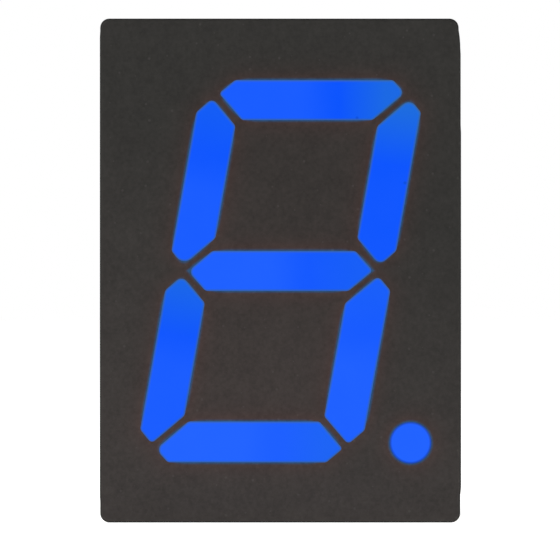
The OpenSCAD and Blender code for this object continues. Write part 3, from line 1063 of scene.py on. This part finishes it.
def greenResist():
    material, tree = newMaterial("green_resist")
    place = millimetres(tree)
    cloud = addNode(tree, "TexNoise", {"Vector": place, "Scale": 1 / board["resistCloud"], "Detail": 4.0})
    darker, paler = board["resist"]
    tone = addNode(tree, "Mix", {"Factor": cloud, "A": darker, "B": paler}, data_type="RGBA")
    turned = addNode(tree, "VectorMath", {0: place, "Scale": math.tau / board["weave"]}, operation="SCALE")
    threads = addNode(tree, "SeparateXYZ", [addNode(tree, "VectorMath", [turned], operation="SINE")])
    weave = addNode(tree, "Math", [threads.outputs["X"], threads.outputs["Z"]], operation="MULTIPLY")
    bump = addNode(tree, "Bump", {"Height": weave, "Strength": 0.08, "Distance": board["relief"]})
    low, high = board["resistRoughness"]
    roughness = addNode(tree, "MapRange", {"Value": cloud, "To Min": low, "To Max": high})
    shader = addNode(tree, "BsdfPrincipled", {
        "Base Color": tone, "Roughness": roughness, "Normal": bump, "IOR": 1.52,
    })
    addNode(tree, "OutputMaterial", {"Surface": shader})
    return material


# Copper foil: under the resist it shows as a paler green, and its bare pads are tinned.

def coveredCopper():
    material, tree = newMaterial("covered_copper")
    place = millimetres(tree)
    axes = addNode(tree, "SeparateXYZ", [place])
    pitch = (pinSpots[2].x - pinSpots[1].x) / mm
    aside = addNode(tree, "Math", [axes.outputs["X"], pitch / 2, -pitch / 2], operation="WRAP")
    above = addNode(tree, "Math", [axes.outputs["Z"]], operation="ABSOLUTE")
    above = addNode(tree, "Math", [above, pinSpots[6].z / mm], operation="SUBTRACT")
    fromPin = addNode(tree, "VectorMath", [addNode(tree, "CombineXYZ", [aside, above])], operation="LENGTH")
    padStart, padEnd = (spanOf("solder_1", 0) / 2 / mm + margin for margin in board["padMargin"])
    onPad = addNode(
        tree, "MapRange",
        {"Value": fromPin, "From Min": padStart, "From Max": padEnd, "To Min": 1, "To Max": 0},
    )
    cloud = addNode(tree, "TexNoise", {"Vector": place, "Scale": 1 / board["copperCloud"], "Detail": 4.0})
    darker, paler = board["overCopper"]
    resist = addNode(tree, "Mix", {"Factor": cloud, "A": darker, "B": paler}, data_type="RGBA")
    tone = addNode(tree, "Mix", {"Factor": onPad, "A": resist, "B": board["pad"]}, data_type="RGBA")
    low, high = board["copperRoughness"]
    roughness = addNode(tree, "MapRange", {"Value": cloud, "To Min": low, "To Max": high})
    bump = addNode(tree, "Bump", {"Height": cloud, "Strength": 0.2, "Distance": board["relief"]})
    shader = addNode(tree, "BsdfPrincipled", {
        "Base Color": tone, "Metallic": onPad, "Roughness": roughness, "Normal": bump,
    })
    addNode(tree, "OutputMaterial", {"Surface": shader})
    return material


# A chip is sawn from a coated sapphire wafer: clear pale blue, with fine saw marks.

chip = {
    "tones": ("#7f9cc4", "#b4c8e4"),
    "roughness": (0.1, 0.3),
    "sawMark": 1 / 40,  # mm
}


def sawnSapphire():
    material, tree = newMaterial("sawn_sapphire")
    place = millimetres(tree)
    saw = addNode(tree, "TexNoise", {"Vector": place, "Scale": 1 / chip["sawMark"], "Detail": 2.0})
    darker, paler = chip["tones"]
    tone = addNode(tree, "Mix", {"Factor": saw, "A": darker, "B": paler}, data_type="RGBA")
    low, high = chip["roughness"]
    roughness = addNode(tree, "MapRange", {"Value": saw, "To Min": low, "To Max": high})
    shader = addNode(tree, "BsdfPrincipled", {"Base Color": tone, "Roughness": roughness, "IOR": 1.77})
    addNode(tree, "OutputMaterial", {"Surface": shader})
    return material


# Bond wire: hard drawn, bright, with fine lines.

bondWire = {
    "tones": ("#c9c9c9", "#e6e6e4"),
    "roughness": (0.15, 0.3),
    "drawLine": 1 / 60,  # mm
}


def drawnBondWire():
    material, tree = newMaterial("drawn_bond_wire")
    place = millimetres(tree)
    lines = addNode(tree, "TexNoise", {"Vector": place, "Scale": 1 / bondWire["drawLine"], "Detail": 1.0})
    darker, paler = bondWire["tones"]
    tone = addNode(tree, "Mix", {"Factor": lines, "A": darker, "B": paler}, data_type="RGBA")
    low, high = bondWire["roughness"]
    roughness = addNode(tree, "MapRange", {"Value": lines, "To Min": low, "To Max": high})
    shader = addNode(tree, "BsdfPrincipled", {"Base Color": tone, "Metallic": 1.0, "Roughness": roughness})
    addNode(tree, "OutputMaterial", {"Surface": shader})
    return material


coverNode("circuit_board", greenResist())
copper = coveredCopper()
for name in ("segment_tracks", "common_track"):
    coverNode(name, copper)
chipMaterial = sawnSapphire()
wireMaterial = drawnBondWire()
for letter in lights:
    coverNode(f"chip_{letter}", chipMaterial)
    coverNode(f"wires_{letter}", wireMaterial)
print("board, chips and wires finished")


# Studio: a pale floor, an even soft surround and two large lamps.

studio = {
    "frameWidth": 19.37 * mm,  # seen at the plane of the face
    "cameraDistance": 0.3,
    "cameraShift": Vector((-0.016 * mm, 0, -0.327 * mm)),  # its axis, from the middle of the face
    "sensor": 36.0,
    "cameraReach": (0.01, 10),  # the nearest and the farthest it sees
    "surround": 0.55,
    "behindCamera": 0.03,
    "darkening": (0.25, 0.8),  # cosine of the angle from straight behind the camera
    "floorSize": 3.0,
    "floorGlow": 0.6,
    "paper": "#f4f4f2",
    "lamps": {  # place, size and power
        "key_softbox": ((-0.3, -0.22, 0.28), 0.25, 1.2),
        "fill_softbox": ((0.34, -0.2, 0.14), 0.25, 0.6),
    },
}


def addFloor():
    takeUp(None)
    bpy.ops.mesh.primitive_plane_add(size=studio["floorSize"], location=(0, 0, cadBox[0].z))
    floor = bpy.context.object
    floor.name = "floor"
    bpy.ops.object.transform_apply(location=True)
    material, tree = newMaterial("white_paper")
    shader = addNode(tree, "BsdfPrincipled", {
        "Base Color": studio["paper"], "Roughness": 0.9, "Specular IOR Level": 0.0,
        "Emission Color": (1, 1, 1, 1), "Emission Strength": studio["floorGlow"],
    })
    addNode(tree, "OutputMaterial", {"Surface": shader})
    floor.data.materials.append(material)


def addCamera():
    aim = middleOf("housing") + studio["cameraShift"]
    aim.y = faceY - studio["cameraDistance"]
    bpy.ops.object.camera_add(location=aim, rotation=(math.pi / 2, 0, 0))
    camera = bpy.context.object
    camera.data.sensor_width = studio["sensor"]
    camera.data.lens = studio["sensor"] * studio["cameraDistance"] / studio["frameWidth"]
    camera.data.clip_start, camera.data.clip_end = studio["cameraReach"]
    bpy.context.scene.camera = camera


def addSurround():
    world = bpy.data.worlds.new("surround")
    world.use_nodes = True
    tree = world.node_tree
    tree.nodes.clear()
    way = addNode(tree, "TexCoord").outputs["Generated"]
    ahead = addNode(tree, "VectorMath", [way, (0, -1, 0)], operation="DOT_PRODUCT")
    start, end = studio["darkening"]
    level = addNode(
        tree, "MapRange",
        {"Value": ahead, "From Min": start, "From Max": end,
         "To Min": studio["surround"], "To Max": studio["behindCamera"]},
        interpolation_type="SMOOTHSTEP",
    )
    lit = addNode(tree, "Background", {"Color": (1, 1, 1, 1), "Strength": level})
    seen = addNode(tree, "Background", {"Color": (1, 1, 1, 1), "Strength": 1.0})
    rays = addNode(tree, "LightPath").outputs["Is Camera Ray"]
    both = addNode(tree, "MixShader", [rays, lit, seen])
    addNode(tree, "OutputWorld", {"Surface": both})
    bpy.context.scene.world = world


def addLamp(name, place, size, power):
    bpy.ops.object.light_add(type="AREA", location=place)
    lamp = bpy.context.object
    lamp.name = name
    lamp.data.size = size
    lamp.data.energy = power
    lamp.rotation_euler = (-Vector(place)).to_track_quat("-Z", "Y").to_euler()


takeUp(None)
addFloor()
addCamera()
addSurround()
for name, (place, size, power) in studio["lamps"].items():
    addLamp(name, place, size, power)
bpy.context.scene.view_settings.view_transform = "Standard"
print("studio ready")
